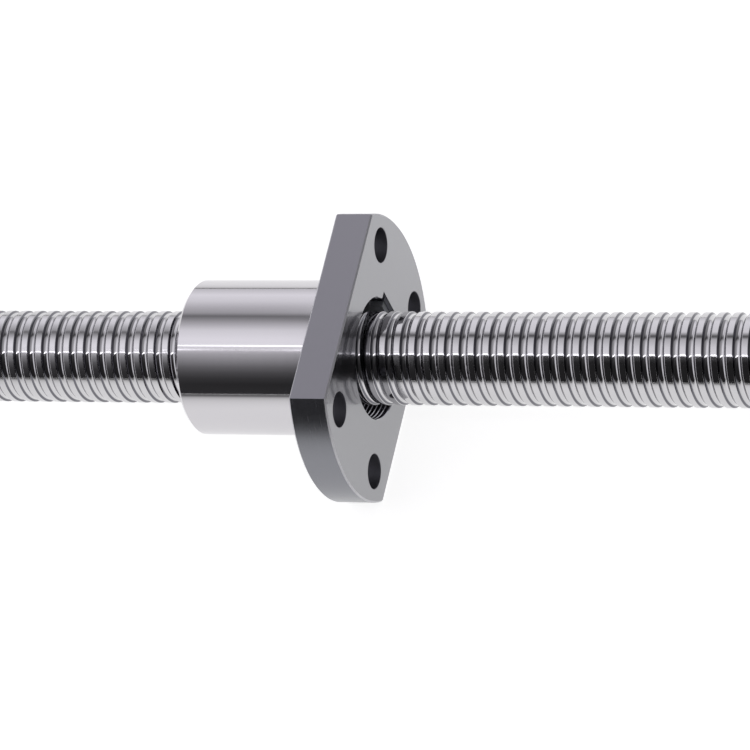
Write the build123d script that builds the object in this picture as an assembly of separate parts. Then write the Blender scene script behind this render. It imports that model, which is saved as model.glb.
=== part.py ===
from build123d import *
from math import acos, atan2, ceil, cos, degrees, floor, pi, radians, sin, sqrt, tan
import os

# A miniature ball screw: a shaft with one ball track, and a flanged nut on it.
# Sizes are in millimetres. Everything is drawn with the shaft's axis along Z and
# z = 0 at the flange's rear face, and is laid on one flat of the flange at the end.
# Angles go round the axis from +X, and the hand of the track is right.

# Shaft
shaft_diameter = 12.0
shaft_length = 112.0
shaft_front_end = 61.5
shaft_chamfer = 0.5
lead = 2.0

# Balls and the track that they run in, a vee that touches a ball at the contact angle.
# The balls' centres run a little outside the shaft's surface. The track repeats all
# along the shaft, so each of its turns has only a few flat facets.
ball_diameter = 1.2
ball_rise = 0.2
contact_angle = 45.0
track_clearance = 0.03
ball_gap = 0.03
track_facets = 12
spare_turns = 2

# Nut, with its bore's clearance round the shaft and its wall outside the pockets
nut_body_length = 19.0
nut_body_chamfer = 0.4
nut_bore_clearance = 0.35
nut_wall = 1.75
flange_diameter = 37.0
flange_thickness = 5.0
flange_across_flats = 24.0
flange_chamfer = 0.2

# Bolt holes, each this far round from the middle of the flange's round side, and a
# little further out than midway between the nut's body and the flange's edge
bolt_hole_diameter = 4.5
bolt_hole_angle = 30.0
bolt_circle_shift = 0.25

# Mouth of the nut, wider than its bore by a shoulder all round
mouth_shoulder = 1.45
mouth_depth = 4.5

# Wiper rings, each on a ledge inside its mouth
wiper_ledge = 0.5
wiper_thickness = 1.7
wiper_shaft_clearance = 0.15
seat_clearance = 0.05

# Deflectors in their pockets, and the hole through the nut's wall that brings the balls
# back. The circuit lies a little forward of the nut's mid length.
whole_turns = 3
circuit_shift = 0.3
pocket_width = 6.0
pocket_past_mouth = 0.45
deflector_clearance = 0.05
deflector_set_back = 0.7
deflector_lip = 0.85
deflector_lip_width = 3.9
deflector_notch_depth = 2.3
deflector_shaft_clearance = 0.12
deflector_entry = 1.0
return_hole_clearance = 0.05
return_hole_depth_in = 0.75
return_hole_side_in = 0.75
return_bend_radius = 1.2

# How far a cut runs past the piece that it cuts
past = 1.0

# Radii that follow from the shaft's
shaft_radius = shaft_diameter / 2
ball_radius = ball_diameter / 2
ball_circle_radius = shaft_radius + ball_rise
bore_radius = shaft_radius + nut_bore_clearance
mouth_radius = bore_radius + mouth_shoulder
wiper_radius = mouth_radius - wiper_ledge
pocket_reach = mouth_radius + pocket_past_mouth
nut_body_radius = pocket_reach + nut_wall
flange_radius = flange_diameter / 2
bolt_circle_radius = (nut_body_radius + flange_radius) / 2 + bolt_circle_shift

# Radii of the track's root on the shaft and in the nut
root_distance = (ball_radius + track_clearance) / cos(radians(contact_angle))
shaft_root_radius = ball_circle_radius - root_distance
nut_root_radius = ball_circle_radius + root_distance

# The ball circuit is the same from both ends: turned end for end about the line from
# the axis through the return hole, near the nut's mid length, it looks as before.
nut_middle = (flange_thickness - nut_body_length) / 2 + circuit_shift
return_hole_radius = ball_radius + return_hole_clearance
return_hole_reach = pocket_reach - return_hole_depth_in
return_hole_side = pocket_width / 2 - return_hole_side_in
return_radius = sqrt(return_hole_reach**2 + return_hole_side**2)
return_angle = degrees(atan2(return_hole_side, return_hole_reach))
pick_up_angle = degrees(acos(ball_circle_radius / return_radius))
loaded_turns = whole_turns - 2 * pick_up_angle / 360
pick_up_height = nut_middle + lead * loaded_turns / 2
track_at_zero = pick_up_height - lead * (return_angle - pick_up_angle) / 360

# Where the channel in the front deflector bends down into the return hole
channel_rise = lead * tan(radians(pick_up_angle)) / (2 * pi)
bend_height = pick_up_height + channel_rise
pocket_floor = bend_height - return_bend_radius

# The wiper's seat, below the mouth, and the height that clears the nut's ends once a
# cut from the front is turned over to the rear
mouth_floor = flange_thickness - mouth_depth
seat_depth = wiper_thickness + 2 * seat_clearance
seat_floor = mouth_floor - seat_depth
cut_top = flange_thickness + 2 * abs(circuit_shift) + past

lay_down = Plane((0, 0, 0), x_dir=(0, 1, 0), z_dir=(1, 0, 0)).location


def turned_over(shape):
    """The shape moved from the nut's front end to its rear end."""
    across = (cos(radians(return_angle)), sin(radians(return_angle)), 0)
    return shape.rotate(Axis((0, 0, nut_middle), across), 180)


def point_turned_over(point):
    """The same for one point: half a turn about the line through the nut's middle."""
    middle = Vector(0, 0, nut_middle)
    across = Vector(cos(radians(return_angle)), sin(radians(return_angle)), 0)
    arm = point - middle
    return middle + across * (2 * arm.dot(across)) - arm


def bar(radius, low, high):
    """A plain round bar on the axis, from one height to another."""
    return Pos(0, 0, low) * Cylinder(radius, high - low, align=(Align.CENTER, Align.CENTER, Align.MIN))


def block(x_from, x_to, y_from, y_to, z_from, z_to):
    """A box between six planes."""
    middle = ((x_from + x_to) / 2, (y_from + y_to) / 2, (z_from + z_to) / 2)
    return Pos(*middle) * Box(x_to - x_from, y_to - y_from, z_to - z_from)


def chamfered_bar(radius, low, high, chamfer_size, spare=0.0):
    """A round bar with chamfered ends. With spare it is that much larger than the radius."""
    grown = chamfer_size + spare
    outline = Polyline(
        (0, low),
        (radius - chamfer_size, low),
        (radius + spare, low + grown),
        (radius + spare, high - grown),
        (radius - chamfer_size, high),
        (0, high),
        close=True,
    )
    return revolve(Plane.XZ * make_face(outline), Axis.Z)


def track_core(land_radius, root_radius, low, high):
    """A core with the ball track round it, a land and two flanks that step round in facets.
    It is at least a turn longer than asked for at both ends."""
    half_width = abs(land_radius - root_radius) * tan(radians(contact_angle))
    rails = (
        (land_radius, -half_width),
        (root_radius, 0),
        (land_radius, half_width),
        (land_radius, lead - half_width),
    )

    def point(radius, offset, step):
        angle = 2 * pi * step / track_facets
        height = track_at_zero + offset + lead * step / track_facets
        return Vector(radius * cos(angle), radius * sin(angle), height)

    def facets(rail, next_rail, step):
        """One step between two rails: flat where their radii are equal, else two triangles."""
        near, far = point(*rail, step), point(*rail, step + 1)
        next_near, next_far = point(*next_rail, step), point(*next_rail, step + 1)
        if rail[0] == next_rail[0]:
            return [Face(Wire.make_polygon([near, far, next_far, next_near]))]
        corners = [near, far, next_near], [next_near, far, next_far]
        return [Face(Wire.make_polygon(triangle)) for triangle in corners]

    first = track_facets * (floor((low - track_at_zero) / lead) - spare_turns)
    last = track_facets * (ceil((high - track_at_zero) / lead) + spare_turns)
    faces = []
    for step in range(first, last):
        for rail, next_rail in zip(rails, rails[1:]):
            faces += facets(rail, next_rail, step)
    for end in (first, last):
        profile = [point(*rail, end) for rail in rails]
        foot, head = Vector(0, 0, profile[0].Z), Vector(0, 0, profile[-1].Z)
        faces.append(Face(Wire.make_polygon([*profile, head, foot])))
        for step in range(end, end + track_facets):
            faces += facets(rails[0], (0, -half_width), step)
    return Solid(Shell(faces))


def make_shaft():
    """The shaft: bar stock with the track all along it and both ends cut square."""
    low, high = shaft_front_end - shaft_length, shaft_front_end
    core = track_core(shaft_radius, shaft_root_radius, low, high)
    return core & chamfered_bar(shaft_radius, low, high, shaft_chamfer, spare=past)


def flange_blank():
    """The flange: a disc with two flats, its outer edges broken."""
    disc = bar(flange_radius, 0, flange_thickness)
    half = flange_across_flats / 2
    disc &= block(-flange_diameter, flange_diameter, -half, half, -past, flange_thickness + past)
    rims = disc.edges().group_by(Axis.Z)
    return chamfer(rims[0] + rims[-1], flange_chamfer)


def return_channel():
    """The path of a ball's centre from the front end of the loaded track, straight off it
    and round the bend into the return hole."""
    start_angle = radians(return_angle - pick_up_angle)
    start = (
        ball_circle_radius * cos(start_angle),
        ball_circle_radius * sin(start_angle),
        pick_up_height,
    )
    bend = (return_hole_reach, return_hole_side, bend_height)
    down = (return_hole_reach, return_hole_side, pocket_floor - return_bend_radius)
    return FilletPolyline(start, bend, down, radius=return_bend_radius)


def make_nut():
    """The nut: body and flange turned in one piece, bored, with the track cut inside."""
    nut = chamfered_bar(nut_body_radius, -nut_body_length, flange_thickness / 2, nut_body_chamfer)
    nut += flange_blank()
    nut -= bar(bore_radius, -nut_body_length - past, flange_thickness + past)
    round_out = 1 / cos(pi / track_facets)
    core_radii = bore_radius * round_out, nut_root_radius * round_out
    track = track_core(*core_radii, 2 * nut_middle - pick_up_height, pick_up_height)
    track_end = pick_up_height + lead / 2
    nut -= track & bar(nut_root_radius + past, 2 * nut_middle - track_end, track_end)
    mouth = bar(mouth_radius, mouth_floor, cut_top)
    seat = bar(wiper_radius + seat_clearance, seat_floor, mouth_floor + past)
    half = pocket_width / 2
    pocket = block(0, pocket_reach, -half, half, pocket_floor, cut_top)
    for cut in (mouth, seat, pocket):
        nut -= cut
        nut -= turned_over(cut)
    hole_length = 2 * (pocket_floor - nut_middle + past)
    return_hole = Cylinder(return_hole_radius, hole_length)
    nut -= Pos(return_hole_reach, return_hole_side, nut_middle) * return_hole
    for side in (0, 180):
        for angle in (side - bolt_hole_angle, side + bolt_hole_angle):
            hole = bar(bolt_hole_diameter / 2, -past, flange_thickness + past)
            hole = Pos(bolt_circle_radius, 0, 0) * hole
            nut -= hole.rotate(Axis.Z, angle)
    return nut


def channel_cut():
    """The round channel in the front deflector, which begins a little before the balls leave
    the track so that they run in freely."""
    entry, bend, down = return_channel().edges()
    bore = Circle(return_hole_radius)
    start = entry @ 0 - (entry % 0) * deflector_entry
    cut = extrude(Plane(start, z_dir=entry % 0) * bore, deflector_entry + entry.length)
    cut += extrude(Plane(down @ 0, z_dir=down % 0) * bore, down.length)
    spin = Axis(bend.arc_center, (bend @ 0 - bend.arc_center).cross(bend % 0))
    turn = degrees(bend.length / return_bend_radius)
    return cut + revolve(Plane(bend @ 0, z_dir=bend % 0) * bore, spin, turn)


def make_front_deflector():
    """The front deflector: a block that lifts the balls off the track and turns them into
    the return hole, with a lip that runs up its pocket to just below the nut's face."""
    half = pocket_width / 2 - deflector_clearance
    outer = pocket_reach - deflector_clearance
    bottom = pocket_floor + deflector_clearance
    scoop_top = seat_floor - deflector_clearance
    lip_top = flange_thickness - deflector_set_back
    scoop = block(0, outer, -half, half, bottom, scoop_top)
    scoop -= bar(shaft_radius + deflector_shaft_clearance, bottom - past, scoop_top + past)
    notch_floor = flange_thickness - deflector_notch_depth
    inner = outer - deflector_lip
    lip = block(inner, outer, -half, half, scoop_top, notch_floor)
    lip += block(inner, outer, -half, deflector_lip_width - half, scoop_top, lip_top)
    return scoop + lip - channel_cut()


def make_front_wiper():
    """The front wiper ring, a labyrinth seal in its seat with a gap round the shaft."""
    low = seat_floor + seat_clearance
    high = low + wiper_thickness
    return bar(wiper_radius, low, high) - bar(shaft_radius + wiper_shaft_clearance, low - past, high + past)


def make_ball():
    """One ball. It is drawn with twenty flat sides inside its true sphere, to keep the many balls light."""
    golden = (1 + sqrt(5)) / 2
    size = ball_radius / sqrt(1 + golden**2)
    corners = []
    for a in (-size, size):
        for b in (-golden * size, golden * size):
            corners += [Vector(0, a, b), Vector(a, b, 0), Vector(b, 0, a)]
    side = 2 * size
    faces = []
    for i, one in enumerate(corners):
        for j, two in enumerate(corners[:i]):
            for three in corners[:j]:
                lengths = [(one - two).length, (two - three).length, (three - one).length]
                if all(abs(length - side) < size / 10 for length in lengths):
                    faces.append(Face(Wire.make_polygon([one, two, three])))
    return Solid(Shell(faces))


def ball_places():
    """The centres of all the balls, evenly spaced round the closed circuit, in groups."""
    channel = return_channel()
    turn_length = sqrt((2 * pi * ball_circle_radius) ** 2 + lead**2)
    loaded_length = loaded_turns * turn_length
    channel_length = channel.length
    low_end = pocket_floor - return_bend_radius
    straight_length = 2 * (low_end - nut_middle)
    circuit = loaded_length + 2 * channel_length + straight_length
    count = floor(circuit / (ball_diameter + ball_gap))
    groups = {}
    for number in range(count):
        way = circuit * number / count
        if way < loaded_length:
            turns = way / turn_length
            angle = radians(return_angle - pick_up_angle) - 2 * pi * turns
            place = Vector(
                ball_circle_radius * cos(angle),
                ball_circle_radius * sin(angle),
                pick_up_height - lead * turns,
            )
            name = f"load_balls_{1 + floor(way / turn_length)}"
        elif way < loaded_length + channel_length:
            place = channel.position_at((way - loaded_length) / channel_length)
            place = point_turned_over(place)
            name = "rear_turn_balls"
        elif way < loaded_length + channel_length + straight_length:
            height = 2 * nut_middle - low_end + (way - loaded_length - channel_length)
            place = Vector(return_hole_reach, return_hole_side, height)
            name = "return_balls"
        else:
            place = channel.position_at((circuit - way) / channel_length)
            name = "front_turn_balls"
        groups.setdefault(name, []).append(place)
    return groups


def save(name, shape):
    """Lays one node's solids down on the flange's flat and writes them."""
    solids = [lay_down * solid for solid in shape.solids()]
    export_step(Compound(children=solids), f"parts/{name}.step")


os.makedirs("parts", exist_ok=True)
save("screw_shaft", make_shaft())
save("ball_nut", make_nut())
save("front_deflector", make_front_deflector())
save("rear_deflector", turned_over(make_front_deflector()))
save("front_wiper", make_front_wiper())
save("rear_wiper", turned_over(make_front_wiper()))
ball = make_ball()
for group, places in ball_places().items():
    save(group, Compound(children=[Pos(*place) * ball for place in places]))
    print(group, len(places))
print("loaded turns", round(loaded_turns, 3))
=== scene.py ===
from math import acos, asin, atan2, ceil, cos, floor, hypot, pi, radians, sin, sqrt, tan

import bmesh
import bpy
from mathutils import Matrix, Vector


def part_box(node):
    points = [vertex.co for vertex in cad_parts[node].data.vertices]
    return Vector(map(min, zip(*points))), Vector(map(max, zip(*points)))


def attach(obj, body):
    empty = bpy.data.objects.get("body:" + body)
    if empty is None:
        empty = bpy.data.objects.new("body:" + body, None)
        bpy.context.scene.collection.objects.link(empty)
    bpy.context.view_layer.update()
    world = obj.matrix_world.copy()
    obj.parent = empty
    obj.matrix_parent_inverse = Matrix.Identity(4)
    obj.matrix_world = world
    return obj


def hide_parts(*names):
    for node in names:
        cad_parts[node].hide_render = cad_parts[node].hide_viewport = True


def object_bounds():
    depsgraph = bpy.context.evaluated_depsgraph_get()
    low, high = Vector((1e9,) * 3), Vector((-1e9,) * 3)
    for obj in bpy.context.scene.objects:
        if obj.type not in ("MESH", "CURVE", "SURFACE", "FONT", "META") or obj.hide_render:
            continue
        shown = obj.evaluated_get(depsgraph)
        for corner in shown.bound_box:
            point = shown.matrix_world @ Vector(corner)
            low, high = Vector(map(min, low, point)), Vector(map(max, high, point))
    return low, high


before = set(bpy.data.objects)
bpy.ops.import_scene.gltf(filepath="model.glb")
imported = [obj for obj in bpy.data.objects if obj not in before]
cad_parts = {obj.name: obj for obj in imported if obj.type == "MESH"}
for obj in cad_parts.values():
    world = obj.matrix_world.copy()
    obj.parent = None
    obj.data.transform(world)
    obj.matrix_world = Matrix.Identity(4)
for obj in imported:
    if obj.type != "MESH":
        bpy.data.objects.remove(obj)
cad_low, cad_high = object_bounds()
MM = 0.001

# The camera looks down on the flange from its front left, as in the picture, with a long
# lens. It is rolled so that the shaft lies level across the picture.
azimuth, elevation, roll = radians(35.58), radians(51.05), radians(-28.68)
aim = Vector((5.21, -2.58, 0)) * MM
distance = 643.1 * MM
forward = Vector((-sin(azimuth) * cos(elevation), cos(azimuth) * cos(elevation), -sin(elevation)))
level_right = forward.cross(Vector((0, 0, 1))).normalized()
level_up = level_right.cross(forward)
right = level_right * cos(roll) + level_up * sin(roll)
up = level_up * cos(roll) - level_right * sin(roll)
turn = Matrix((right, up, -forward)).transposed().to_4x4()
camera = bpy.data.objects.new("camera", bpy.data.cameras.new("camera"))
camera.data.sensor_width = 36
camera.data.lens = 241.8
camera.data.clip_start = 10 * MM
camera.matrix_world = Matrix.Translation(aim - forward * distance) @ turn
bpy.context.collection.objects.link(camera)
bpy.context.scene.camera = camera
bpy.context.scene.view_settings.view_transform = "Standard"


# The studio: light panels hang over the table in line with the shaft. Between them is a dark
# seam, a thin strip lamp runs along the near edge, and the room beyond is dark. One more panel
# stands far out on the left, and the side where the camera is stays darker. The real strip is
# near the object, so this one, which is far away, bends a little where the nut mirrors it.
def linear(hex_colour):
    """An sRGB hex colour as the linear colour that Blender works in."""
    parts = [int(hex_colour[i : i + 2], 16) / 255 for i in (1, 3, 5)]
    return (*(p / 12.92 if p <= 0.04045 else ((p + 0.055) / 1.055) ** 2.4 for p in parts), 1)


def add_node(tree, kind, links=(), **settings):
    """Adds a shader node with its settings, and sets or links its inputs."""
    node = tree.nodes.new("ShaderNode" + kind)
    for name, value in settings.items():
        setattr(node, name, value)
    for socket, value in dict(links).items():
        if isinstance(value, bpy.types.NodeSocket):
            tree.links.new(value, node.inputs[socket])
        else:
            node.inputs[socket].default_value = value
    return node


studio = bpy.data.worlds.new("studio")
bpy.context.scene.world = studio
studio.use_nodes = True
tree = studio.node_tree
tree.nodes.clear()
ray = add_node(tree, "SeparateXYZ", {0: add_node(tree, "TexCoord").outputs["Generated"]})
# the angle round the shaft's line, from the far side of the table over the top to the near side
angle = add_node(tree, "Math", {0: ray.outputs["Z"], 1: ray.outputs["Y"]}, operation="ARCTAN2")
half_turns = add_node(tree, "Math", {0: angle.outputs[0], 1: pi}, operation="DIVIDE")
# the panels' levels by that angle in degrees; the strip lamp is the short step to 3 or 4
over_left = (
    *((0, 0.72), (17, 1.03), (31, 0.9), (43, 0.64), (54, 0.45), (59.5, 0.2)),
    *((64.6, 0.34), (74, 0.62), (83, 0.94), (97, 1.1)),
)
near_left_shaft = (
    *((111, 1.0), (111.5, 3.0), (113, 3.0), (114, 0.6)),
    *((125, 0.3), (140, 0.12), (155, 0.05), (178, 0.03)),
)
near_nut = (
    *((105.6, 1.1), (106, 3.0), (107, 3.0), (107.4, 0.97), (119, 0.55), (128.5, 0.36)),
    *((138, 0.19), (146.6, 0.1), (155, 0.053), (164, 0.03), (178, 0.04)),
)
round_right_shaft = (
    *((0, 0.72), (17, 1.0), (52, 0.9), (61, 0.3), (64, 0.12), (67, 0.16), (73, 0.6), (94, 0.9)),
    *((111, 1.0), (111.8, 4.0), (113.2, 4.0), (114.5, 0.08), (130, 0.02), (178, 0.02)),
)
right_side = (
    *((0, 0.4), (54, 0.2), (63, 0.06), (67, 0.08), (72, 0.35)),
    *((111, 0.5), (111.8, 4.0), (113.2, 4.0), (114.5, 0.08), (140, 0.02), (178, 0.02)),
)
far_left = (0, 0.9), (52, 0.8), (60, 0.4), (68, 0.85), (178, 0.8)
far_right = (0, 0.3), (56, 0.12), (76, 0.2), (106, 0.2), (116, 0.03), (178, 0.02)
# from the left to the right: between which parts of X a set of panels takes over
zones = (
    (-1.0, -0.99, far_left),
    (-0.62, -0.5, (*over_left, *near_left_shaft)),
    (-0.406, -0.402, (*over_left, *near_nut)),
    (-0.374, -0.369, round_right_shaft),
    (-0.2, 0.05, right_side),
    (0.45, 0.6, far_right),
)
sky = None
for start, end, lights in zones:
    panels = add_node(tree, "ValToRGB", {0: half_turns.outputs[0]})
    for degrees_over, level in lights[2:]:
        panels.color_ramp.elements.new(degrees_over / 180)
    for stop, (degrees_over, level) in zip(panels.color_ramp.elements, lights):
        stop.position = degrees_over / 180
        stop.color = (0.98 * level, 0.965 * level, 1.02 * level, 1)
    if sky is None:
        sky = panels.outputs[0]
    else:
        here = add_node(tree, "MapRange", {0: ray.outputs["X"], 1: start, 2: end})
        mixed = add_node(
            tree, "Mix", {0: here.outputs[0], 6: sky, 7: panels.outputs[0]}, data_type="RGBA"
        )
        sky = mixed.outputs[2]
below = add_node(tree, "Math", {0: ray.outputs["Z"], 1: 0.0}, operation="LESS_THAN")
room = add_node(tree, "Mix", {0: below.outputs[0], 6: sky, 7: (1, 1, 1, 1)}, data_type="RGBA")
seen = add_node(tree, "LightPath").outputs["Is Camera Ray"]
backdrop = add_node(tree, "Mix", {0: seen, 6: room.outputs[2], 7: (1, 1, 1, 1)}, data_type="RGBA")
background = add_node(tree, "Background", {"Color": backdrop.outputs[2], "Strength": 1.0})
add_node(tree, "OutputWorld", {"Surface": background.outputs[0]})

# The table is a white card lit from below, so it stays white but for the object's shadow. Every
# bright face that looks down mirrors it, darker where that is far to the sides or to the front.
bpy.ops.mesh.primitive_plane_add(size=6, location=(0, 0, cad_low[2]))
table = bpy.context.object
table.name = "table"
white_card = bpy.data.materials.new("white_card")
white_card.use_nodes = True
tree = white_card.node_tree
tree.nodes.clear()
path = add_node(tree, "LightPath").outputs
mirrored = add_node(tree, "Math", {0: path["Is Glossy Ray"], 1: 0.78}, operation="MULTIPLY")
in_view = add_node(tree, "Math", {0: path["Is Camera Ray"], 1: 0.88}, operation="MULTIPLY")
lift = add_node(tree, "Math", {0: mirrored.outputs[0], 1: in_view.outputs[0]})
matt = add_node(tree, "BsdfDiffuse", {"Color": linear("#B4B4B4")})
glow = add_node(tree, "Emission", {"Color": linear("#FFFFFF"), "Strength": lift.outputs[0]})
card = add_node(tree, "AddShader", {0: matt.outputs[0], 1: glow.outputs[0]})
spot = add_node(tree, "SeparateXYZ", {0: add_node(tree, "TexCoord").outputs["Object"]}).outputs
nearer = add_node(tree, "Math", {0: spot["Y"], 1: 0.0}, operation="MINIMUM")
from_far_side = add_node(tree, "CombineXYZ", {0: spot["X"], 1: nearer.outputs[0]}).outputs[0]
away = add_node(tree, "VectorMath", {0: from_far_side}, operation="LENGTH").outputs["Value"]
fade = add_node(tree, "MapRange", {0: away, 1: 45 * MM, 2: 300 * MM, 3: 0.0, 4: 0.85})
dimmed = add_node(tree, "Math", {0: path["Is Glossy Ray"], 1: fade.outputs[0]}, operation="MULTIPLY")
dark = add_node(tree, "Emission", {"Color": linear("#303030"), "Strength": 1.0})
top = add_node(tree, "MixShader", {0: dimmed.outputs[0], 1: card.outputs[0], 2: dark.outputs[0]})
add_node(tree, "OutputMaterial", {"Surface": top.outputs[0]})
table.data.materials.append(white_card)


# The shaft is bearing steel bar with the ball track rolled into it and polished. The track is
# a round-bottomed groove that fits the balls, and its lips are slightly rounded.
shaft_radius = 6.0
shaft_chamfer = 0.5
lead = 2.0
ball_circle_radius = 6.2
groove_radius = 0.62
# half the groove's width at the foot of its lips, and where the flat lands begin
lip_start = 0.57
land_start = 0.64
nut_middle = -6.7
return_reach, return_side = 7.5, 2.25
track_at_zero = nut_middle + 1.5 * lead - lead * atan2(return_side, return_reach) / (2 * pi)
steps_per_turn = 64


def groove_section():
    """One pitch of the shaft as points (place along it, radius): groove, rounded lips, land."""
    lip_angle = asin(lip_start / groove_radius)
    angles = [lip_angle * step / 6 for step in range(7)]
    side = [(groove_radius * sin(a), ball_circle_radius - groove_radius * cos(a)) for a in angles]
    foot, edge = Vector(side[-1]), Vector((land_start, shaft_radius))
    corner = Vector((foot.x + (shaft_radius - foot.y) / tan(lip_angle), shaft_radius))
    for t in (0.25, 0.5, 0.75, 1):
        side.append(foot.lerp(corner, t).lerp(corner.lerp(edge, t), t))
    mirrored = [(-along, radius) for along, radius in side[:0:-1]]
    land = [(along, shaft_radius) for along in (land_start + 0.04, lead / 2, lead - land_start - 0.04)]
    return [*mirrored, *side, *land]


def helical_surface(section, low, high):
    """The section wound round the axis as a right-hand helix, past low and high by some turns."""
    first = (floor((low - track_at_zero) / lead) - 2) * steps_per_turn
    last = (ceil((high - track_at_zero) / lead) + 2) * steps_per_turn
    across = len(section)
    points, faces = [], []
    for step in range(first, last + steps_per_turn):
        around = 2 * pi * step / steps_per_turn
        foot = track_at_zero + lead * step / steps_per_turn
        points += [(foot + along, r * cos(around), r * sin(around)) for along, r in section]
    for step in range(last - first - 1):
        here, there = step * across, (step + 1) * across
        next_turn = steps_per_turn * across
        for place in range(across):
            end = here + place + 1, there + place + 1
            if place == across - 1:
                end = here + next_turn, there + next_turn
            faces.append((here + place, end[0], end[1], there + place))
    mesh = bpy.data.meshes.new("helix")
    mesh.from_pydata(points, [], faces)
    return mesh


def cut_square(shape, place, outward):
    """Cuts a helical surface off square across the axis and closes its end."""
    everything = shape.verts[:] + shape.edges[:] + shape.faces[:]
    plane = {"plane_co": (place, 0, 0), "plane_no": (outward, 0, 0)}
    made = bmesh.ops.bisect_plane(shape, geom=everything, dist=1e-6, clear_outer=True, **plane)
    rim = [part for part in made["geom_cut"] if isinstance(part, bmesh.types.BMEdge)]
    bmesh.ops.edgeloop_fill(shape, edges=rim)


def piece(name, shape, *materials):
    """A piece from a shape drawn in millimetres, smooth but for its sharp edges."""
    bmesh.ops.recalc_face_normals(shape, faces=shape.faces)
    shape.transform(Matrix.Scale(MM, 4))
    mesh = bpy.data.meshes.new(name)
    shape.to_mesh(mesh)
    shape.free()
    mesh.set_sharp_from_angle(angle=radians(32))
    for material in materials:
        mesh.materials.append(material)
    made = bpy.data.objects.new(name, mesh)
    bpy.context.collection.objects.link(made)
    return made


def steel(name, colour, roughness, grain, streak, depth=0.0, oil=0.0):
    """Bare steel. Its finishing marks are grain mm wide along the shaft and streak mm round it,
    they vary the roughness and stand depth mm high. Oil is how far a film of it covers them.
    Real marks are a few hundredths of a millimetre wide, too fine to show, so these are wider."""
    material = bpy.data.materials.new(name)
    material.use_nodes = True
    tree = material.node_tree
    tree.nodes.clear()
    place = add_node(tree, "TexCoord").outputs["Object"]
    scale = (1 / (grain * MM), 1 / (streak * MM), 1 / (streak * MM))
    marks_at = add_node(tree, "Mapping", {"Vector": place, "Scale": scale})
    marks = add_node(tree, "TexNoise", {"Vector": marks_at.outputs[0], "Scale": 1.0, "Detail": 4.0})
    low, high = 0.9 * roughness, 1.1 * roughness
    rough = add_node(tree, "MapRange", {0: marks.outputs[0], 1: 0.3, 2: 0.7, 3: low, 4: high})
    bump = add_node(
        tree, "Bump", {"Height": marks.outputs[0], "Strength": 1.0, "Distance": depth * MM}
    )
    surface = add_node(
        tree,
        "BsdfPrincipled",
        {
            "Base Color": linear(colour),
            "Metallic": 1.0,
            "Roughness": rough.outputs[0],
            "Normal": bump.outputs[0],
            "Coat Weight": oil,
            "Coat Roughness": 0.06,
        },
    )
    add_node(tree, "OutputMaterial", {"Surface": surface.outputs[0]})
    return material


shaft_low, shaft_high = (corner[0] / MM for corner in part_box("screw_shaft"))
# rolled and polished: a near mirror, with fine lines round the shaft
rolled_steel = steel("rolled_bearing_steel", "#D2D1D3", 0.08, grain=0.12, streak=4.0, depth=0.0008)
# painted shade: the base colour darkens on the steep sides of the groove, where its flanks shade each
# other, but not on its polished bottom or the lands
tree = rolled_steel.node_tree
spot = add_node(tree, "SeparateXYZ", {0: add_node(tree, "TexCoord").outputs["Object"]}).outputs
from_axis = add_node(tree, "CombineXYZ", {0: spot["Y"], 1: spot["Z"]})
height = add_node(tree, "VectorMath", {0: from_axis.outputs[0]}, operation="LENGTH").outputs["Value"]
groove_shade_floor = 5.5
raised = add_node(tree, "MapRange", {0: height, 1: groove_shade_floor * MM, 2: shaft_radius * MM})
# the painted shade in the groove, as a darker base colour between these radii
painted_groove_shade = add_node(tree, "ValToRGB", {0: raised.outputs[0]})
tones = (0.36, "#D2D1D3"), (0.46, "#74747A"), (0.86, "#74747A"), (0.93, "#D2D1D3")
for part_way, tone in tones[1:3]:
    painted_groove_shade.color_ramp.elements.new(part_way)
for stop, (part_way, tone) in zip(painted_groove_shade.color_ramp.elements, tones):
    stop.position, stop.color = part_way, linear(tone)
tree.links.new(painted_groove_shade.outputs[0], tree.nodes["Principled BSDF"].inputs["Base Color"])
shape = bmesh.new()
shape.from_mesh(helical_surface(groove_section(), shaft_low, shaft_high))
for point in shape.verts:
    depth = min(point.co.x - shaft_low, shaft_high - point.co.x)
    limit = max(shaft_radius - shaft_chamfer + depth, 1.0)
    radius = hypot(point.co.y, point.co.z)
    if radius > limit:
        point.co.yz *= limit / radius
cut_square(shape, shaft_low, -1)
cut_square(shape, shaft_high, 1)
shaft = piece("shaft", shape, rolled_steel)
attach(shaft, "screw")
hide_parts("screw_shaft")


# The nut is turned and bored from one piece of bearing steel, hardened, and ground bright on
# its body. The flange has two milled flats, four drilled holes and broken edges, and the ball
# track inside and the return hole in the wall are cut as the real ones run.
flange_radius, flange_thickness, half_flats = 18.5, 5.0, 12.0
body_radius, body_length = 10.0, 19.0
bore_radius = 6.35
mouth_radius, mouth_floor = 7.8, 0.5
seat_radius, seat_floor = 7.35, -1.3
hole_radius, bolt_circle_radius, hole_angle = 2.25, 14.5, radians(30)
hole_across, hole_reach = bolt_circle_radius * cos(hole_angle), bolt_circle_radius * sin(hole_angle)
return_hole_radius = 0.65
pocket_half, pocket_reach = 3.0, 8.25
pocket_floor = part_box("front_deflector")[0][0] / MM - 0.05
edge_break = 0.2


def turned(outline, steps=180):
    """A closed outline of points (along, radius) turned about the shaft's axis."""
    shape = bmesh.new()
    rings = []
    for step in range(steps):
        around = 2 * pi * step / steps
        rings.append([shape.verts.new((x, r * cos(around), r * sin(around))) for x, r in outline])
    for ring, next_ring in zip(rings, rings[1:] + rings[:1]):
        for spot in range(len(outline)):
            shape.faces.new((ring[spot], next_ring[spot], next_ring[spot - 1], ring[spot - 1]))
    bmesh.ops.remove_doubles(shape, verts=shape.verts, dist=1e-5)
    bmesh.ops.recalc_face_normals(shape, faces=shape.faces)
    return shape


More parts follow.
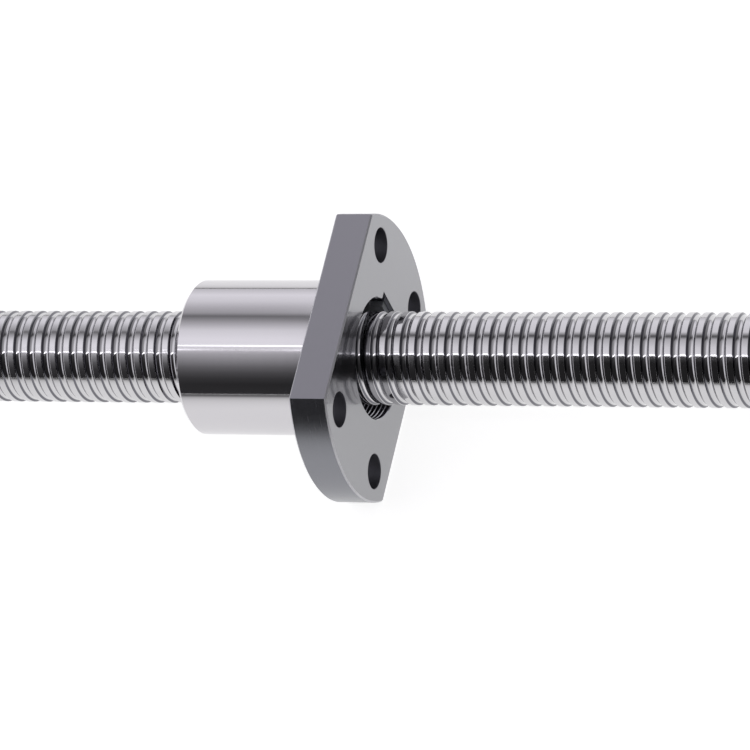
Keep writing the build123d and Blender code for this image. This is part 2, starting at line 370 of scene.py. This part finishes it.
def prism(outline, half_width):
    """A closed outline of points (x, z) drawn out to both sides along Y."""
    shape = bmesh.new()
    near, far = ([shape.verts.new((x, y, z)) for x, z in outline] for y in (-half_width, half_width))
    shape.faces.new(near)
    shape.faces.new(far)
    for spot in range(len(outline)):
        shape.faces.new((near[spot], near[spot - 1], far[spot - 1], far[spot]))
    bmesh.ops.recalc_face_normals(shape, faces=shape.faces)
    return shape


def machined(shape, tool, operation="DIFFERENCE"):
    """The shape after the tool's shape is cut from it, or with what lies in both kept."""
    both = []
    for name, part in (("work", shape), ("tool", tool)):
        mesh = bpy.data.meshes.new(name)
        part.to_mesh(mesh)
        part.free()
        both.append(bpy.data.objects.new(name, mesh))
        bpy.context.collection.objects.link(both[-1])
    work, cutter = both
    step = work.modifiers.new("step", "BOOLEAN")
    step.operation, step.solver, step.object = operation, "EXACT", cutter
    depsgraph = bpy.context.evaluated_depsgraph_get()
    result = bmesh.new()
    result.from_object(work, depsgraph)
    for part in both:
        mesh = part.data
        bpy.data.objects.remove(part)
        bpy.data.meshes.remove(mesh)
    return result


def box_between(low, high):
    """A box between two corners."""
    shape = bmesh.new()
    bmesh.ops.create_cube(shape, size=1)
    low, high = Vector(low), Vector(high)
    shape.transform(Matrix.Translation((low + high) / 2) @ Matrix.Diagonal((*(high - low), 1)))
    return shape


def turned_over(shape):
    """Moves a tool from the nut's front end to the same place at its rear end."""
    line = Vector((0, return_reach, return_side))
    middle = Matrix.Translation((nut_middle, 0, 0))
    shape.transform(middle @ Matrix.Rotation(pi, 4, line) @ middle.inverted())
    return shape


def track_reach():
    """How far the loaded track runs along the nut from its middle, each way."""
    lift_off = acos(ball_circle_radius / hypot(return_reach, return_side))
    return lead * (1.5 - lift_off / (2 * pi)) + lead / 2


def nut_track_section():
    """One pitch of the cutter for the nut's track: its core, and the ridge that the balls fit."""
    core = bore_radius - 0.02
    widest = sqrt(groove_radius**2 - (core - ball_circle_radius) ** 2)
    turns = [asin(widest / groove_radius) * step / 6 for step in range(-6, 7)]
    ridge = [(groove_radius * sin(a), ball_circle_radius + groove_radius * cos(a)) for a in turns]
    return [*ridge, (lead / 2, core)]


rear = 2 * nut_middle
# the coarse boring marks in the front mouth: their pitch, and each one's places and depths
boring_feed = 0.6
boring = (0, 0), (0.03, 0.13), (0.16, 0)
nut_outline = [
    (-body_length, body_radius - 0.4),
    (-body_length + 0.4, body_radius),
    (0, body_radius),
    (0, flange_radius - edge_break),
    (edge_break, flange_radius),
    (flange_thickness - edge_break, flange_radius),
    (flange_thickness, flange_radius - edge_break),
    (flange_thickness, mouth_radius + 0.1),
    (flange_thickness - 0.1, mouth_radius),
    *(
        (flange_thickness - boring_feed * ring - along, mouth_radius + deep)
        for ring in range(1, 7)
        for along, deep in boring
    ),
    (mouth_floor, mouth_radius),
    (mouth_floor, seat_radius),
    (seat_floor, seat_radius),
    (seat_floor, bore_radius),
    (rear - seat_floor, bore_radius),
    (rear - seat_floor, seat_radius),
    (rear - mouth_floor, seat_radius),
    (rear - mouth_floor, mouth_radius),
    (-body_length + 0.1, mouth_radius),
    (-body_length, mouth_radius + 0.1),
]
slope = 1.0
flats_outline = [
    (-body_length - 5, half_flats - slope),
    (edge_break - slope, half_flats - slope),
    (edge_break, half_flats),
    (flange_thickness - edge_break, half_flats),
    (flange_thickness - edge_break + slope, half_flats - slope),
]
flats_outline += [(x, -z) for x, z in reversed(flats_outline)]
nut_shape = machined(turned(nut_outline), prism(flats_outline, 30), "INTERSECT")
# the drill, with a countersink for the burr at each end of the hole
burr, past = 0.06, 1.0
drill_outline = [
    (-past, 0),
    (-past, hole_radius + past + burr),
    (burr, hole_radius),
    (flange_thickness - burr, hole_radius),
    (flange_thickness + past, hole_radius + past + burr),
    (flange_thickness + past, 0),
]
for side in (0, pi):
    for around in (side - hole_angle, side + hole_angle):
        drill = turned(drill_outline, steps=64)
        drill.transform(
            Matrix.Translation((0, bolt_circle_radius * cos(around), bolt_circle_radius * sin(around)))
        )
        nut_shape = machined(nut_shape, drill)
for place in (lambda tool: tool, turned_over):
    pocket = box_between(
        (pocket_floor, 0, -pocket_half), (flange_thickness + past, pocket_reach, pocket_half)
    )
    nut_shape = machined(nut_shape, place(pocket))
# the return hole, which opens into both pockets, and the track for the loaded balls
hole_length = 2 * (pocket_floor - nut_middle + 1)
drill = bmesh.new()
bmesh.ops.create_cone(
    drill,
    cap_ends=True,
    segments=32,
    radius1=return_hole_radius,
    radius2=return_hole_radius,
    depth=hole_length,
)
drill.transform(
    Matrix.Translation((nut_middle, return_reach, return_side)) @ Matrix.Rotation(pi / 2, 4, "Y")
)
nut_shape = machined(nut_shape, drill)
reach = track_reach()
cutter = bmesh.new()
cutter.from_mesh(helical_surface(nut_track_section(), nut_middle - reach, nut_middle + reach))
cut_square(cutter, nut_middle - reach, -1)
cut_square(cutter, nut_middle + reach, 1)
bmesh.ops.recalc_face_normals(cutter, faces=cutter.faces)
nut_shape = machined(nut_shape, cutter)

# ground: mirror-bright, with faint streaks round the body
ground_steel = steel("ground_nut_steel", "#D3D1D4", 0.07, grain=0.2, streak=8.0)
# faced on the lathe: satin grey under a wet film of oil, which mirrors the strip lamp
faced_steel = steel("faced_flange_steel", "#88888D", 0.25, grain=0.25, streak=0.25, oil=1.0)
# turned: a soft sheen round the rim
rim_steel = steel("turned_rim_steel", "#8A8B90", 0.25, grain=0.15, streak=5.0)
# edges broken by hand with a stone: thin, light and matt
edge_steel = steel("stoned_edge_steel", "#D8D8DB", 0.6, grain=0.3, streak=1.0)
# milled: even and matt
milled_steel = steel("milled_flat_steel", "#ACABB2", 0.32, grain=0.3, streak=1.0)
# bored: shiny and dark, as it mirrors the inside of the mouth
bored_steel = steel("bored_mouth_steel", "#A2A2A8", 0.12, grain=0.15, streak=5.0)
# drilled: rough and dull
drilled_steel = steel("drilled_hole_steel", "#7A7A80", 0.55, grain=0.2, streak=3.0)
finishes = (
    *(ground_steel, faced_steel, rim_steel, milled_steel),
    *(bored_steel, drilled_steel, edge_steel),
)
nut_shape.normal_update()
for face in nut_shape.faces:
    centre = face.calc_center_median()
    out = hypot(centre.y, centre.z)
    from_hole = hypot(abs(centre.y) - hole_across, abs(centre.z) - hole_reach)
    if abs(face.normal.x) < 0.9 and from_hole < hole_radius + 0.1:
        finish = drilled_steel
    elif centre.x > -0.01 and out > 11 and 0.3 < abs(face.normal.x) < 0.9:
        finish = edge_steel
    elif abs(face.normal.z) > 0.99 and abs(abs(centre.z) - half_flats) < 0.01:
        finish = milled_steel
    elif centre.x > -0.01 and out > flange_radius - 0.1 and abs(face.normal.x) < 0.1:
        finish = rim_steel
    elif out < pocket_reach + 0.2 and abs(face.normal.x) < 0.9:
        finish = bored_steel
    elif centre.x > -0.01:
        finish = faced_steel
    else:
        finish = ground_steel
    face.material_index = finishes.index(finish)
    face.smooth = True
nut = piece("nut", nut_shape, *finishes)
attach(nut, "nut")
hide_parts("ball_nut")


# A wiper ring is moulded from black acetal and snapped into its seat at each end. Its lip
# clears the shaft and keeps chips out, and it makes the floor of the mouth black and satin.
def resin(name, colour, roughness):
    """A moulded engineering plastic with a fine spark-eroded skin, about 0.1 mm in grain."""
    material = bpy.data.materials.new(name)
    material.use_nodes = True
    tree = material.node_tree
    tree.nodes.clear()
    place = add_node(tree, "TexCoord").outputs["Object"]
    skin = add_node(tree, "TexNoise", {"Vector": place, "Scale": 1 / (0.1 * MM), "Detail": 2.0})
    bump = add_node(tree, "Bump", {"Height": skin.outputs[0], "Strength": 0.4, "Distance": 0.01 * MM})
    surface = add_node(
        tree,
        "BsdfPrincipled",
        {"Base Color": linear(colour), "Roughness": roughness, "IOR": 1.48, "Normal": bump.outputs[0]},
    )
    add_node(tree, "OutputMaterial", {"Surface": surface.outputs[0]})
    return material


black_acetal = resin("black_acetal", "#2A2A2D", 0.35)
wiper_outline = [
    (-1.25, 6.15),
    (-1.25, 7.3),
    (0.35, 7.3),
    (0.45, 7.2),
    (0.45, 7.1),
    (0.3, 7.0),
    (0.3, 6.9),
    (0.45, 6.8),
    (0.45, 6.7),
    (0.25, 6.6),
    (0.25, 6.3),
    (0.4, 6.2),
    (0.35, 6.15),
]
for name, place in (("front_wiper", lambda shape: shape), ("rear_wiper", turned_over)):
    wiper = piece(f"{name}_ring", place(turned(wiper_outline, steps=96)), black_acetal)
    for face in wiper.data.polygons:
        face.use_smooth = True
    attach(wiper, "wipers")
    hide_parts(name)


# The deflectors are moulded from a grey filled resin and pressed into their pockets, one at
# each end, where they lift the balls off the track and into the hole in the nut's wall. Their
# grey is painted lighter than the resin's own, as a painted reflection that brightens them where
# they sit in the shade of their pockets.
grey_resin_painted_lighter = resin("grey_resin_with_painted_reflection", "#A4A7AB", 0.4)
for name in ("front_deflector", "rear_deflector"):
    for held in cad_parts[name].material_slots:
        held.material = grey_resin_painted_lighter


# The balls are chromium steel, lapped to a mirror. They fill the track inside the nut and the
# return hole in its wall, so they show only when it is taken apart. Each is a true sphere.
ball_radius = 0.6
lapped_steel = steel("lapped_chromium_steel", "#DEDEE0", 0.06, grain=0.4, streak=0.4)


def solid_centres(node):
    """The middle of each loose solid of a CAD node, in millimetres."""
    solids = bmesh.new()
    solids.from_mesh(node.data)
    solids.transform(Matrix.Scale(1 / MM, 4) @ node.matrix_world)
    bmesh.ops.remove_doubles(solids, verts=solids.verts, dist=1e-4)
    left, centres = set(solids.verts), []
    while left:
        group, edge_of_it = set(), [left.pop()]
        while edge_of_it:
            corner = edge_of_it.pop()
            group.add(corner)
            linked = {edge.other_vert(corner) for edge in corner.link_edges} & left
            left -= linked
            edge_of_it += linked
        centres.append(sum((corner.co for corner in group), Vector()) / len(group))
    solids.free()
    return centres


for name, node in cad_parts.items():
    if name.endswith("_balls") or name.startswith("load_balls"):
        shape = bmesh.new()
        for centre in solid_centres(node):
            bmesh.ops.create_icosphere(
                shape, subdivisions=3, radius=ball_radius, matrix=Matrix.Translation(centre)
            )
        for face in shape.faces:
            face.smooth = True
        balls = piece(f"{name}_lapped", shape, lapped_steel)
        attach(balls, "nut")
        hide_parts(name)
